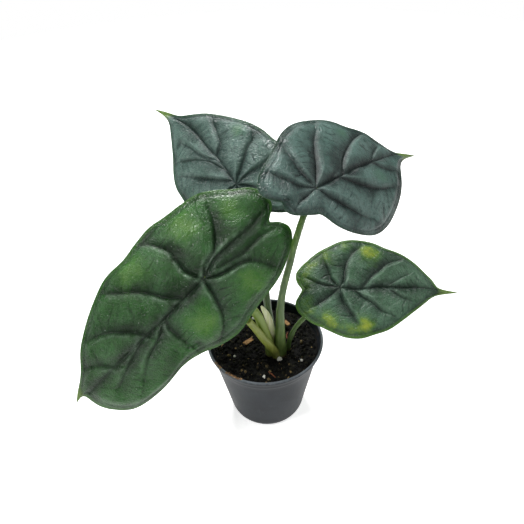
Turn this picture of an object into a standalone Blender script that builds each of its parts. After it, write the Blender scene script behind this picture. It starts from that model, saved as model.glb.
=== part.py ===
# Young alocasia in a nursery pot, one named object per physical piece.
# Metres, +Z up, the pot stands on z = 0 with its axis on the Z axis.
import bpy
import math
import numpy as np
from mathutils import Vector

MM = 0.001

# driving dimensions, in millimetres
POT_HEIGHT = 73.0
RIM_RADIUS = 45.0
BASE_RADIUS = 28.0
WALL = 1.3
RIM_BAND = 9.5          # height of the thickened rim band
SOIL_LEVEL = 66.0
SOIL_GAP = 0.3
LEAF_THICKNESS = 1.1
LEAF_GAP = 0.35         # between a petiole's end and the blade's underside
DRIP_TIP = 13.0         # length of the narrow tip beyond the blade
CROWN = (8.6, -10.6)    # where the petioles leave the soil

# Each blade: attachment point, heading, pitch, roll in degrees, then how far the
# surface falls at 60 mm along the midrib (tip side, lobe side) and at 40 mm to
# each side, then the outline as (degrees round the attachment, radius in mm).
BLADES = {
    "leaf_front": {
        "at": (-38.4, -26.1, 158.7),
        "turn": (211, -27, -44),
        "fall": (6, 5, 7, 7),
        "outline": [(-175, 67), (-168, 70), (-160, 69), (-150, 63), (-140, 60), (-128, 57),
                    (-115, 52), (-100, 49), (-85, 50), (-70, 51), (-55, 55), (-42, 66),
                    (-30, 75), (-20, 85), (-12, 95), (-6, 102), (0, 111), (7, 112),
                    (13, 108), (20, 99), (27, 80), (34, 60), (45, 50), (60, 46), (80, 43),
                    (100, 40), (115, 41), (128, 45), (140, 51), (152, 58), (162, 65),
                    (169, 67), (175, 63), (179, 58)],
    },
    "leaf_right": {
        "at": (58.1, 12.1, 112.2),
        "turn": (-2, -2, 28),
        "fall": (5, 5, 4, 4),
        "outline": [(-176, 29), (-168, 32), (-160, 36), (-150, 37), (-140, 36), (-128, 35),
                    (-115, 34), (-100, 35), (-85, 38), (-70, 41), (-55, 43), (-42, 47),
                    (-30, 51), (-20, 56), (-12, 62), (-6, 68), (0, 75), (7, 73), (12, 69),
                    (20, 64), (30, 58), (42, 51), (55, 48), (70, 44), (85, 40), (100, 36),
                    (115, 34), (128, 33), (140, 33), (150, 34), (160, 35), (168, 34),
                    (175, 32), (180, 30)],
    },
    "leaf_back": {
        "at": (-16.8, 48.6, 183.4),
        "turn": (131, 19, -45),
        "fall": (3, 4, 3, 4),
        "outline": [(-175, 34), (-168, 42), (-160, 50), (-150, 55), (-140, 55), (-128, 52),
                    (-115, 48), (-100, 44), (-85, 42), (-70, 44), (-55, 47), (-42, 51),
                    (-30, 57), (-20, 64), (-12, 70), (-6, 76), (0, 84), (7, 75), (12, 69),
                    (20, 62), (30, 57), (42, 52), (55, 46), (70, 44), (85, 42), (100, 45),
                    (115, 49), (128, 52), (140, 54), (150, 54), (160, 50), (168, 42),
                    (175, 34), (180, 31)],
    },
    "leaf_upper": {
        "at": (37.8, 8.9, 203.0),
        "turn": (40, -6, 37),
        "fall": (3, 6, 4, 5),
        "outline": [(-175, 31), (-168, 31), (-160, 29), (-150, 25), (-140, 22), (-128, 20),
                    (-115, 19), (-100, 22), (-85, 30), (-70, 41), (-55, 54), (-42, 63),
                    (-30, 70), (-20, 77), (-12, 83), (-6, 88), (0, 95), (7, 88), (12, 84),
                    (20, 79), (30, 70), (42, 66), (55, 60), (70, 53), (85, 46), (100, 40),
                    (115, 37), (128, 37), (140, 39), (150, 41), (160, 42), (168, 40),
                    (175, 34), (180, 30)],
    },
}

# Each petiole: path points in mm and the radius at each
PETIOLES = {
    "petiole_front": {
        "path": [(3.8, -10.6, 67.3), (3.8, -10.7, 71), (3.2, -11.2, 78), (0.6, -12, 90),
                 (-2.6, -13, 104), (-7.6, -14, 117), (-22, -15.5, 136)],
        "radius": [3.0, 3.0, 3.0, 3.0, 3.0, 2.9, 2.6, 2.3, 2.0],
        "blade": "leaf_front",
    },
    "petiole_right": {
        "path": [(17.7, -7.2, 66.6), (17.7, -7.2, 70), (19.4, -6.2, 79), (23.6, -4, 88),
                 (31, -0.5, 95), (44, 7, 101)],
        "radius": [1.8, 1.8, 1.8, 1.8, 1.8, 1.7, 1.6, 1.5],
        "blade": "leaf_right",
    },
    "petiole_back": {
        "path": [(6.4, -4.0, 67.3), (6.4, -4.0, 71), (5.6, -3.6, 88), (3.2, -1.6, 105),
                 (1.6, 3, 122), (-1, 20, 150), (-7, 42, 167)],
        "radius": [2.1, 2.1, 2.4, 2.7, 2.7, 2.5, 2.3, 2.1, 1.9],
        "blade": "leaf_back",
    },
    "petiole_upper": {
        "path": [(11.2, -10.6, 67.3), (11.2, -10.5, 70), (11.2, -10.2, 77), (11.4, -10, 92),
                 (12.6, -9, 121), (19.1, -5, 152), (24.6, -0.5, 173), (31, 6, 190)],
        "radius": [3.8, 3.8, 3.6, 2.9, 2.5, 2.4, 2.3, 2.2, 2.1, 2.0],
        "blade": "leaf_upper",
    },
    "petiole_stub": {
        "path": [(5.3, -16.8, 67.0), (5.2, -17.0, 71), (4.0, -17.6, 77), (-1.7, -18.6, 93),
                 (-6.4, -19.2, 103), (-11.5, -21, 114)],
        "radius": [2.7, 2.7, 2.7, 2.8, 2.7, 2.5],
        "blade": None,
    },
}

# Grains and chips on the soil: x, y, half sizes, turn about Z in degrees
GRAINS = {
    "perlite_a": (10.4, -17.4, 1.9, 1.7, 1.5, 20),
    "perlite_b": (-24.0, -12.0, 1.2, 1.0, 0.9, 50),
    "perlite_c": (27.0, -19.0, 1.1, 1.3, 0.9, 10),
    "perlite_d": (-2.0, -34.0, 1.5, 1.1, 0.9, 75),
    "perlite_e": (-9.0, 27.0, 1.2, 1.1, 0.9, 35),
}
CHIPS = {
    "bark_a": (-13.0, 2.6, 4.6, 2.2, 0.8, 38),
    "bark_b": (18.0, 20.0, 3.4, 1.8, 0.8, 120),
    "bark_c": (-26.0, 10.0, 2.8, 1.6, 0.7, 80),
}
FIBRES = {
    "fibre_a": [(17.4, 4.6), (17.0, 7.5), (18.0, 10.6)],
    "fibre_b": [(1.5, -29.0), (4.0, -31.5), (6.4, -34.6)],
}

box = bpy.data.collections.new("potted_alocasia")
bpy.context.scene.collection.children.link(box)
for left in list(bpy.data.objects):
    bpy.data.objects.remove(left, do_unlink=True)

FINISHES = {
    "pot_plastic": ((0.085, 0.095, 0.105), 0.42, 0.0),
    "soil": ((0.020, 0.016, 0.012), 0.95, 0.0),
    "rhizome_bark": ((0.085, 0.050, 0.028), 0.85, 0.0),
    "petiole_green": ((0.17, 0.26, 0.075), 0.45, 0.0),
    "blade_green": ((0.045, 0.12, 0.055), 0.38, 0.0),
    "sheath_cream": ((0.62, 0.63, 0.38), 0.6, 0.0),
    "perlite_white": ((0.75, 0.73, 0.68), 0.85, 0.0),
    "bark_straw": ((0.42, 0.27, 0.12), 0.8, 0.0),
    "fibre_brown": ((0.16, 0.06, 0.03), 0.8, 0.0),
}


def finish(name):
    made = bpy.data.materials.get(name)
    if made is None:
        made = bpy.data.materials.new(name)
        made.use_nodes = True
        colour, rough, metal = FINISHES[name]
        shader = made.node_tree.nodes["Principled BSDF"]
        shader.inputs["Base Color"].default_value = (*colour, 1.0)
        shader.inputs["Roughness"].default_value = rough
        shader.inputs["Metallic"].default_value = metal
    return made


def keep(name, mesh, material):
    piece = bpy.data.objects.new(name, mesh)
    box.objects.link(piece)
    mesh.name = name
    mesh.materials.clear()
    mesh.materials.append(finish(material))
    mesh.shade_smooth()
    return piece


def baked(piece):
    # the shape with its modifiers and placement taken in
    bpy.context.view_layer.update()
    seen = piece.evaluated_get(bpy.context.evaluated_depsgraph_get())
    mesh = bpy.data.meshes.new_from_object(seen)
    mesh.transform(piece.matrix_world)
    return mesh


def grid_mesh(name, points, faces):
    mesh = bpy.data.meshes.new(name)
    mesh.from_pydata([tuple(c * MM for c in p) for p in points], [], faces)
    mesh.update()
    return mesh


def soil_height(x, y):
    # gently lumpy potting mix, a little higher round the crown
    lumps = 0.45 * math.sin(0.23 * x + 0.8) * math.cos(0.19 * y - 0.4)
    lumps += 0.30 * math.sin(0.41 * x - 0.29 * y) + 0.22 * math.cos(0.53 * y + 0.17 * x)
    away = math.hypot(x - CROWN[0], y - CROWN[1])
    return SOIL_LEVEL + lumps * min(1.0, away / 14.0)


# ---- pot ----
def wall_radius(z):
    # outside of the tapered wall below the rim band
    return 30.2 + (41.2 - 30.2) * (z - 6.0) / (POT_HEIGHT - RIM_BAND - 6.0)


band = POT_HEIGHT - RIM_BAND
outer = [
    (RIM_RADIUS - 1.1, POT_HEIGHT), (RIM_RADIUS - 0.4, POT_HEIGHT - 0.3),
    (RIM_RADIUS, POT_HEIGHT - 1.0), (RIM_RADIUS - 0.1, POT_HEIGHT - 2.0),
    (RIM_RADIUS - 0.6, POT_HEIGHT - 3.2), (RIM_RADIUS - 1.5, POT_HEIGHT - 5.0),
    (RIM_RADIUS - 2.2, band + 2.0), (RIM_RADIUS - 2.6, band + 0.6), (42.0, band - 0.2),
    (41.3, band - 1.0), (wall_radius(45.0), 45.0), (wall_radius(25.0), 25.0),
    (30.4, 6.5), (29.6, 3.4), (BASE_RADIUS, 0.9), (BASE_RADIUS - 1.6, 0.0),
    (BASE_RADIUS - 3.0, 0.0),
]
inner = [
    (BASE_RADIUS - 3.0, WALL), (BASE_RADIUS - 1.2, WALL + 0.3), (28.4, 4.2), (29.1, 6.8),
    (wall_radius(25.0) - WALL, 25.0), (wall_radius(45.0) - WALL, 45.0),
    (40.0, band - 1.0), (RIM_RADIUS - 4.0, band + 1.5), (RIM_RADIUS - 2.9, POT_HEIGHT - 5.0),
    (RIM_RADIUS - 2.1, POT_HEIGHT - 2.4), (RIM_RADIUS - 1.8, POT_HEIGHT - 0.6),
]

profile = outer + [(12.0, 0.0), (0.0, 0.0), (0.0, WALL), (12.0, WALL)] + inner
pot_mesh = bpy.data.meshes.new("pot_profile")
count = len(profile)
edges = [(i, i + 1) for i in range(count - 1)] + [(count - 1, 0)]
axis_edge = len(outer) + 1
edges.remove((axis_edge, axis_edge + 1))
pot_mesh.from_pydata([(r * MM, 0.0, z * MM) for r, z in profile], edges, [])
pot = bpy.data.objects.new("pot_turned", pot_mesh)
box.objects.link(pot)
screw = pot.modifiers.new("turn", "SCREW")
screw.axis = "Z"
screw.steps = 56
screw.render_steps = 56
screw.use_merge_vertices = True
screw.merge_threshold = 0.00005
screw.use_normal_calculate = False

cutters = bpy.data.collections.new("pot_cutters")
bpy.context.scene.collection.children.link(cutters)
HOLES = [(18.0, 22.5 + 60 * i, 2.6) for i in range(6)]
for spot, (ring, turn, radius) in enumerate(HOLES):
    a = math.radians(turn)
    bpy.ops.mesh.primitive_cylinder_add(
        vertices=16, radius=radius * MM, depth=12 * MM,
        location=(ring * math.cos(a) * MM, ring * math.sin(a) * MM, 0.0))
    drill = bpy.context.object
    drill.name = "drain_cutter_%d" % spot
    drill.hide_render = True
    drill.display_type = "WIRE"
    for home in list(drill.users_collection):
        home.objects.unlink(drill)
    cutters.objects.link(drill)
drain = pot.modifiers.new("drain", "BOOLEAN")
drain.operation = "DIFFERENCE"
drain.solver = "EXACT"
drain.operand_type = "COLLECTION"
drain.collection = cutters
turned = baked(pot)
bpy.data.objects.remove(pot, do_unlink=True)
for drill in list(cutters.objects):
    bpy.data.objects.remove(drill, do_unlink=True)
keep("nursery_pot", turned, "pot_plastic")


# ---- potting mix ----
def inner_radius(z):
    rows = sorted(inner, key=lambda row: row[1])
    return float(np.interp(z, [row[1] for row in rows], [row[0] for row in rows]))


SOIL_TURNS = 40
SOIL_RINGS = [4.0, 8.0, 12.0, 16.0, 20.5, 25.0, 29.5, 33.5, 37.0]
points = []
faces = []
points.append((0.0, 0.0, soil_height(0.0, 0.0)))
rim_at = inner_radius(SOIL_LEVEL) - SOIL_GAP
for ring in SOIL_RINGS + [rim_at]:
    for step in range(SOIL_TURNS):
        a = math.tau * step / SOIL_TURNS
        x = ring * math.cos(a)
        y = ring * math.sin(a)
        z = soil_height(x, y)
        if ring == rim_at:
            z = SOIL_LEVEL
        points.append((x, y, z))
SIDE = [65.0, 62.5, 45.0, 25.0, 6.8, 4.4]
for z in SIDE:
    ring = inner_radius(z) - SOIL_GAP
    for step in range(SOIL_TURNS):
        a = math.tau * step / SOIL_TURNS
        points.append((ring * math.cos(a), ring * math.sin(a), z))
for step in range(SOIL_TURNS):
    a = math.tau * step / SOIL_TURNS
    points.append(((BASE_RADIUS - 1.6) * math.cos(a), (BASE_RADIUS - 1.6) * math.sin(a),
                   WALL + 0.3 + SOIL_GAP))
points.append((0.0, 0.0, WALL + 0.3 + SOIL_GAP))
levels = len(SOIL_RINGS) + 1 + len(SIDE) + 1
for step in range(SOIL_TURNS):
    after = (step + 1) % SOIL_TURNS
    faces.append((0, 1 + step, 1 + after))
    for level in range(levels - 1):
        low = 1 + level * SOIL_TURNS
        high = low + SOIL_TURNS
        faces.append((low + step, high + step, high + after, low + after))
    last = 1 + (levels - 1) * SOIL_TURNS
    faces.append((last + step, len(points) - 1, last + after))
soil = bpy.data.objects.new("soil_fill", grid_mesh("soil_fill", points, faces))
box.objects.link(soil)

# the hollow in the mix that the rhizome sits in
RHIZOME_SIZE = (13.5, 11.5, 6.0)
RHIZOME_Z = 61.1


def rhizome_ball(name, grow):
    bpy.ops.mesh.primitive_uv_sphere_add(segments=28, ring_count=14, radius=1.0)
    ball = bpy.context.object
    ball.name = name
    for vert in ball.data.vertices:
        x, y, z = vert.co
        vert.co = ((CROWN[0] + x * (RHIZOME_SIZE[0] + grow)) * MM,
                   (CROWN[1] + y * (RHIZOME_SIZE[1] + grow)) * MM,
                   (RHIZOME_Z + z * (RHIZOME_SIZE[2] + grow)) * MM)
    for home in list(ball.users_collection):
        home.objects.unlink(ball)
    return ball


hollow = rhizome_ball("rhizome_cutter", SOIL_GAP)
cutters.objects.link(hollow)
hollow.hide_render = True
hollow.display_type = "WIRE"
bite = soil.modifiers.new("seat", "BOOLEAN")
bite.operation = "DIFFERENCE"
bite.solver = "EXACT"
bite.object = hollow
filled = baked(soil)
bpy.data.objects.remove(soil, do_unlink=True)
bpy.data.objects.remove(hollow, do_unlink=True)
keep("potting_mix", filled, "soil")

stem = rhizome_ball("rhizome_ball", 0.0)
stem_mesh = stem.data.copy()
bpy.data.objects.remove(stem, do_unlink=True)
keep("rhizome", stem_mesh, "rhizome_bark")


# ---- leaf blades ----
def blade_frame(turn):
    head, pitch, roll = (math.radians(t) for t in turn)
    midrib = Vector((math.cos(head) * math.cos(pitch), math.sin(head) * math.cos(pitch),
                     math.sin(pitch)))
    level = Vector((-math.sin(head), math.cos(head), 0.0))
    lift = midrib.cross(level)
    across = level * math.cos(roll) + lift * math.sin(roll)
    normal = lift * math.cos(roll) - level * math.sin(roll)
    return midrib, across, normal


def outline_radius(outline, degrees):
    # smooth closed curve through the outline's points
    wrapped = [(a - 360, r) for a, r in outline[-2:]] + outline
    wrapped += [(a + 360, r) for a, r in outline[:3]]
    at = [a for a, r in wrapped]
    radius = [r for a, r in wrapped]
    slope = [0.0] * len(at)
    for i in range(1, len(at) - 1):
        slope[i] = (radius[i + 1] - radius[i - 1]) / (at[i + 1] - at[i - 1])
    while degrees < at[1]:
        degrees += 360
    while degrees >= at[1] + 360:
        degrees -= 360
    i = 1
    while at[i + 1] < degrees:
        i += 1
    span = at[i + 1] - at[i]
    t = (degrees - at[i]) / span
    value = (2 * t ** 3 - 3 * t ** 2 + 1) * radius[i] + (t ** 3 - 2 * t ** 2 + t) * span * slope[i]
    value += (3 * t ** 2 - 2 * t ** 3) * radius[i + 1] + (t ** 3 - t ** 2) * span * slope[i + 1]
    return value


def blade_point(leaf, frame, a, b):
    tip, lobe, left, right = leaf["fall"]
    drop = (tip if a > 0 else lobe) * (a / 60) ** 2 + (left if b > 0 else right) * (b / 40) ** 2
    midrib, across, normal = frame
    return Vector(leaf["at"]) + a * midrib + b * across - drop * normal


TURNS = 64
RINGS = [0.12, 0.28, 0.45, 0.62, 0.78, 0.9, 1.0]


def blade(name, leaf):
    frame = blade_frame(leaf["turn"])
    points = [Vector(leaf["at"])]
    faces = []
    for ring in RINGS:
        for step in range(TURNS):
            s = math.tau * step / TURNS
            theta = s - 0.9 * math.sin(s)      # crowded towards the drip tip
            degrees = math.degrees(theta)
            signed = (degrees + 180) % 360 - 180
            radius = outline_radius(leaf["outline"], signed)
            reach = radius + DRIP_TIP * math.exp(-(signed / 1.7) ** 2)
            grow = radius * ring + (reach - radius) * ring ** 12
            points.append(blade_point(leaf, frame, grow * math.cos(theta),
                                      grow * math.sin(theta)))
    for step in range(TURNS):
        after = (step + 1) % TURNS
        faces.append((0, 1 + step, 1 + after))
        for level in range(len(RINGS) - 1):
            low = 1 + level * TURNS
            high = low + TURNS
            faces.append((low + step, high + step, high + after, low + after))
    sheet = bpy.data.objects.new(name + "_sheet", grid_mesh(name + "_sheet", points, faces))
    box.objects.link(sheet)
    thick = sheet.modifiers.new("thickness", "SOLIDIFY")
    thick.thickness = LEAF_THICKNESS * MM
    thick.offset = -1.0
    thick.use_even_offset = False
    whole = baked(sheet)
    bpy.data.objects.remove(sheet, do_unlink=True)
    keep(name, whole, "blade_green")
    return frame


frames = {}
for name, leaf in BLADES.items():
    frames[name] = blade(name, leaf)


# ---- petioles ----
def stalk(name, path, radius, material):
    curve = bpy.data.curves.new(name, "CURVE")
    curve.dimensions = "3D"
    curve.bevel_depth = MM
    curve.bevel_resolution = 2
    curve.resolution_u = 4
    curve.use_fill_caps = True
    line = curve.splines.new("BEZIER")
    line.bezier_points.add(len(path) - 1)
    for knot, spot, size in zip(line.bezier_points, path, radius):
        knot.co = Vector(spot) * MM
        knot.radius = size
        knot.handle_left_type = "AUTO"
        knot.handle_right_type = "AUTO"
    holder = bpy.data.objects.new(name + "_line", curve)
    box.objects.link(holder)
    mesh = baked(holder)
    bpy.data.objects.remove(holder, do_unlink=True)
    whole = bpy.data.objects.new(name + "_tube", mesh)
    box.objects.link(whole)
    weld = whole.modifiers.new("weld", "WELD")
    weld.merge_threshold = 0.00002
    welded = baked(whole)
    bpy.data.objects.remove(whole, do_unlink=True)
    return keep(name, welded, material)


for name, petiole in PETIOLES.items():
    path = [Vector(p) for p in petiole["path"]]
    if petiole["blade"]:
        normal = frames[petiole["blade"]][2]
        at = Vector(BLADES[petiole["blade"]]["at"])
        path.append(at - normal * (LEAF_THICKNESS + LEAF_GAP + 7.0))
        path.append(at - normal * (LEAF_THICKNESS + LEAF_GAP))
    stalk(name, path, petiole["radius"], "petiole_green")

# ---- pale sheath beside the front petiole ----
SHEATH = [
    ((7.4, -8.0, 68.5), 1.2), ((6.6, -7.6, 80.0), 1.5), ((5.4, -8.4, 92.0), 2.4),
    ((3.4, -9.4, 103.0), 3.0), ((0.6, -10.3, 112.0), 2.2), ((-2.2, -11.0, 118.5), 0.7),
]
points = []
faces = []
lean = Vector((0.80, 0.55, 0.22)).normalized()
for spot, half in SHEATH:
    for side in (-1.0, -0.33, 0.33, 1.0):
        curl = 0.5 * (1 - side * side)
        points.append(Vector(spot) + lean * half * side + Vector((0.4, -0.7, 0.3)) * curl)
for row in range(len(SHEATH) - 1):
    for col in range(3):
        low = row * 4 + col
        faces.append((low, low + 1, low + 5, low + 4))
sheet = bpy.data.objects.new("sheath_sheet", grid_mesh("sheath_sheet", points, faces))
box.objects.link(sheet)
thick = sheet.modifiers.new("thickness", "SOLIDIFY")
thick.thickness = 0.5 * MM
thick.offset = 0.0
whole = baked(sheet)
bpy.data.objects.remove(sheet, do_unlink=True)
keep("petiole_sheath", whole, "sheath_cream")


# ---- grains, chips and fibres lying on the mix ----
def highest_soil(x, y, reach):
    best = soil_height(x, y)
    for step in range(12):
        a = math.tau * step / 12
        best = max(best, soil_height(x + reach * math.cos(a), y + reach * math.sin(a)))
    return best


for name, (x, y, rx, ry, rz, turn) in GRAINS.items():
    bpy.ops.mesh.primitive_ico_sphere_add(subdivisions=2, radius=1.0)
    grain = bpy.context.object
    a = math.radians(turn)
    base = highest_soil(x, y, max(rx, ry) * 0.4) + SOIL_GAP + rz
    for vert in grain.data.vertices:
        u, v, w = vert.co
        knobble = 1.0 + 0.12 * math.sin(5 * u + turn) * math.cos(4 * v) - 0.08 * math.sin(6 * w)
        u, v, w = u * rx * knobble, v * ry * knobble, w * rz
        vert.co = ((x + u * math.cos(a) - v * math.sin(a)) * MM,
                   (y + u * math.sin(a) + v * math.cos(a)) * MM, (base + w) * MM)
    mesh = grain.data.copy()
    bpy.data.objects.remove(grain, do_unlink=True)
    keep(name, mesh, "perlite_white")

for name, (x, y, rx, ry, rz, turn) in CHIPS.items():
    bpy.ops.mesh.primitive_cube_add(size=2.0)
    chip = bpy.context.object
    for home in list(chip.users_collection):
        home.objects.unlink(chip)
    box.objects.link(chip)
    a = math.radians(turn)
    base = highest_soil(x, y, max(rx, ry) * 0.8) + SOIL_GAP + rz
    for vert in chip.data.vertices:
        u, v, w = vert.co
        taper = 0.72 if u > 0 else 1.0
        u, v, w = u * rx, v * ry * taper, w * rz
        vert.co = ((x + u * math.cos(a) - v * math.sin(a)) * MM,
                   (y + u * math.sin(a) + v * math.cos(a)) * MM, (base + w) * MM)
    soften = chip.modifiers.new("soften", "BEVEL")
    soften.width = 0.35 * MM
    soften.segments = 2
    mesh = baked(chip)
    bpy.data.objects.remove(chip, do_unlink=True)
    keep(name, mesh, "bark_straw")

for name, line in FIBRES.items():
    top = max(highest_soil(x, y, 2.0) for x, y in line) + SOIL_GAP + 0.45
    stalk(name, [(x, y, top) for x, y in line], [0.45, 0.5, 0.4], "fibre_brown")

bpy.data.collections.remove(cutters)
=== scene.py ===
import math
import bpy
import numpy as np
from mathutils import Matrix, Vector


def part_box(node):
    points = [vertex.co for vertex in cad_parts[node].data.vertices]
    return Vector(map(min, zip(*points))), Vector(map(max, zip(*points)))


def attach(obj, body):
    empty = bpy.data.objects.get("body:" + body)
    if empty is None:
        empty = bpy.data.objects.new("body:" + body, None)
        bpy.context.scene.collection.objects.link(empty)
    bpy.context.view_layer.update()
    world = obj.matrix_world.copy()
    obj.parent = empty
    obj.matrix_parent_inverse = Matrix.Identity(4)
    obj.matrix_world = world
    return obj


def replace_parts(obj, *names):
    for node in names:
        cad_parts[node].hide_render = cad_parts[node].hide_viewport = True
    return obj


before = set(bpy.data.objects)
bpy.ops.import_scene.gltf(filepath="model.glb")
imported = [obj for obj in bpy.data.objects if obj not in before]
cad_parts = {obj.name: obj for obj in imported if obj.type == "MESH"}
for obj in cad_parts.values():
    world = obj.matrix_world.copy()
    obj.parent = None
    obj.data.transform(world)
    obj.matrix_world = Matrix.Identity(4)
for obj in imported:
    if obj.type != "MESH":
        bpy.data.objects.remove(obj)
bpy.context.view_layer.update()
print("frame loaded")

mm = 0.001
scene = bpy.context.scene
bpy.ops.object.select_all(action="DESELECT")


def screenColour(red, green, blue):
    # 0-255 screen values to the linear values the shaders use
    return tuple(c / 3294.6 if c <= 10.3 else ((c / 255 + 0.055) / 1.055) ** 2.4
                 for c in (red, green, blue)) + (1.0,)


# camera, lights and floor
studio = {
    "aim": (0.0, 0.0, 149.5), "distance": 404.0, "elevation": 39.4, "roll": -2.34,
    "lens": 40.0, "sensor": 36.0, "nearest": 0.01, "worldStrength": 0.14, "lampAim": (0, 0, 0.12),
    "floorGlow": 0.72, "floorRadius": 1.1, "floorDrop": 0.0004, "paper": (0.93, 0.93, 0.93, 1),
    "paperRough": 0.9,
    "lights": [
        ("keyLight", (-0.12, 0.62, 0.90), 0.30, 9.4),
        ("frontLight", (-0.50, -0.35, 0.90), 0.30, 5.0),
        ("sideLight", (0.80, 0.10, 0.55), 0.40, 1.6),
    ],
}


def setStudio():
    tilt = math.radians(studio["elevation"])
    roll = math.radians(studio["roll"])
    ahead = Vector((0, math.cos(tilt), -math.sin(tilt)))
    flatRight = Vector((1, 0, 0))
    flatUp = flatRight.cross(ahead)
    right = flatRight * math.cos(roll) + flatUp * math.sin(roll)
    up = flatUp * math.cos(roll) - flatRight * math.sin(roll)
    place = (Vector(studio["aim"]) - ahead * studio["distance"]) * mm
    lensData = bpy.data.cameras.new("plantCamera")
    lensData.lens = studio["lens"]
    lensData.sensor_width = studio["sensor"]
    lensData.clip_start = studio["nearest"]
    camera = bpy.data.objects.new("plantCamera", lensData)
    scene.collection.objects.link(camera)
    camera.matrix_world = Matrix((
        (right.x, up.x, -ahead.x, place.x),
        (right.y, up.y, -ahead.y, place.y),
        (right.z, up.z, -ahead.z, place.z),
        (0, 0, 0, 1)))
    scene.camera = camera
    for name, spot, size, power in studio["lights"]:
        lampData = bpy.data.lights.new(name, "AREA")
        lampData.shape = "DISK"
        lampData.size = size
        lampData.energy = power
        lamp = bpy.data.objects.new(name, lampData)
        scene.collection.objects.link(lamp)
        lamp.location = spot
        facing = Vector(studio["lampAim"]) - Vector(spot)
        lamp.rotation_euler = facing.to_track_quat("-Z", "Y").to_euler()
    world = bpy.data.worlds.new("studioWorld")
    world.use_nodes = True
    nodes, links = world.node_tree.nodes, world.node_tree.links
    sky = nodes["Background"]
    sky.inputs["Color"].default_value = (1, 1, 1, 1)
    sky.inputs["Strength"].default_value = studio["worldStrength"]
    backdrop = nodes.new("ShaderNodeBackground")
    backdrop.inputs["Color"].default_value = (1, 1, 1, 1)
    seen = nodes.new("ShaderNodeLightPath")
    blend = nodes.new("ShaderNodeMixShader")
    links.new(seen.outputs["Is Camera Ray"], blend.inputs[0])
    links.new(sky.outputs[0], blend.inputs[1])
    links.new(backdrop.outputs[0], blend.inputs[2])
    links.new(blend.outputs[0], nodes["World Output"].inputs["Surface"])
    scene.world = world
    scene.view_settings.view_transform = "Standard"
    bpy.ops.mesh.primitive_circle_add(vertices=96, radius=studio["floorRadius"], fill_type="NGON",
                                      location=(0, 0, -studio["floorDrop"]))
    floor = bpy.context.object
    floor.name = "studioFloor"
    paint = bpy.data.materials.new("floorPaper")
    paint.use_nodes = True
    shader = paint.node_tree.nodes["Principled BSDF"]
    shader.inputs["Base Color"].default_value = studio["paper"]
    shader.inputs["Roughness"].default_value = studio["paperRough"]
    shader.inputs["Emission Color"].default_value = (1, 1, 1, 1)
    shader.inputs["Emission Strength"].default_value = studio["floorGlow"]
    floor.data.materials.append(paint)


setStudio()
print("studio set")


class Wire:
    # one socket; arithmetic on it adds Math nodes
    def __init__(self, maker, socket):
        self.maker = maker
        self.socket = socket

    def maths(self, operation, other, flip=False, clamp=False):
        pair = {0: other, 1: self} if flip else {0: self, 1: other}
        return self.maker.add("ShaderNodeMath", {"operation": operation, "use_clamp": clamp}, pair)

    def __add__(self, other):
        return self.maths("ADD", other)

    def __radd__(self, other):
        return self.maths("ADD", other, True)

    def __sub__(self, other):
        return self.maths("SUBTRACT", other)

    def __rsub__(self, other):
        return self.maths("SUBTRACT", other, True)

    def __mul__(self, other):
        return self.maths("MULTIPLY", other)

    def held(self):
        return self.maths("ADD", 0.0, clamp=True)


class Finish:
    # a material being made; add() makes any node
    def __init__(self, name):
        self.material = bpy.data.materials.new(name)
        self.material.use_nodes = True
        self.tree = self.material.node_tree
        self.shader = self.tree.nodes["Principled BSDF"]
        self.place = self.add("ShaderNodeTexCoord", {}, {}, "Object")

    def add(self, kind, settings, sockets, out=0):
        node = self.tree.nodes.new(kind)
        for key, value in settings.items():
            setattr(node, key, value)
        for key, value in sockets.items():
            if isinstance(value, Wire):
                self.tree.links.new(value.socket, node.inputs[key])
            else:
                node.inputs[key].default_value = value
        return Wire(self, node.outputs[out])

    def attribute(self, name):
        return self.add("ShaderNodeAttribute", {"attribute_name": name}, {}, "Fac")

    def noise(self, scale, detail=3.0, rough=0.55, place=None):
        return self.add("ShaderNodeTexNoise", {}, {
            "Vector": place or self.place, "Scale": scale, "Detail": detail, "Roughness": rough}, 0)

    def cells(self, scale, feature="F1"):
        return self.add("ShaderNodeTexVoronoi", {"feature": feature}, {
            "Vector": self.place, "Scale": scale}, "Distance")

    def stretched(self, scale):
        return self.add("ShaderNodeMapping", {}, {"Vector": self.place, "Scale": scale})

    def mix(self, amount, first, second):
        return self.add("ShaderNodeMix", {"data_type": "RGBA"}, {0: amount, 6: first, 7: second}, 2)

    def step(self, value, low, high):
        return self.add("ShaderNodeMapRange", {"interpolation_type": "SMOOTHSTEP"}, {
            "Value": value, "From Min": low, "From Max": high})

    def bump(self, height, strength, distance):
        return self.add("ShaderNodeBump", {}, {"Height": height, "Strength": strength, "Distance": distance})

    def feed(self, **inputs):
        for key, value in inputs.items():
            socket = self.shader.inputs[key.replace("_", " ")]
            if isinstance(value, Wire):
                self.tree.links.new(value.socket, socket)
            else:
                socket.default_value = value
        return self.material


def pickOnly(piece):
    bpy.ops.object.select_all(action="DESELECT")
    bpy.context.view_layer.objects.active = piece
    piece.select_set(True)


def dress(piece, material):
    piece.data.materials.clear()
    piece.data.materials.append(material)
    piece.data.shade_smooth()
    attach(piece, "root")


def meshPiece(name, points, faces, material, attributes=None):
    mesh = bpy.data.meshes.new(name)
    mesh.from_pydata(np.asarray(points, float).tolist(), [], faces)
    mesh.update()
    for key, values in (attributes or {}).items():
        mesh.attributes.new(key, "FLOAT", "POINT").data.foreach_set("value", np.asarray(values, np.float32))
    piece = bpy.data.objects.new(name, mesh)
    scene.collection.objects.link(piece)
    dress(piece, material)
    return piece


def applyAll(piece):
    pickOnly(piece)
    for modifier in list(piece.modifiers):
        bpy.ops.object.modifier_apply(modifier=modifier.name)


lumpWaves = {"count": 7, "pace": (0.7, 1.5), "level": 3.2}


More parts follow.
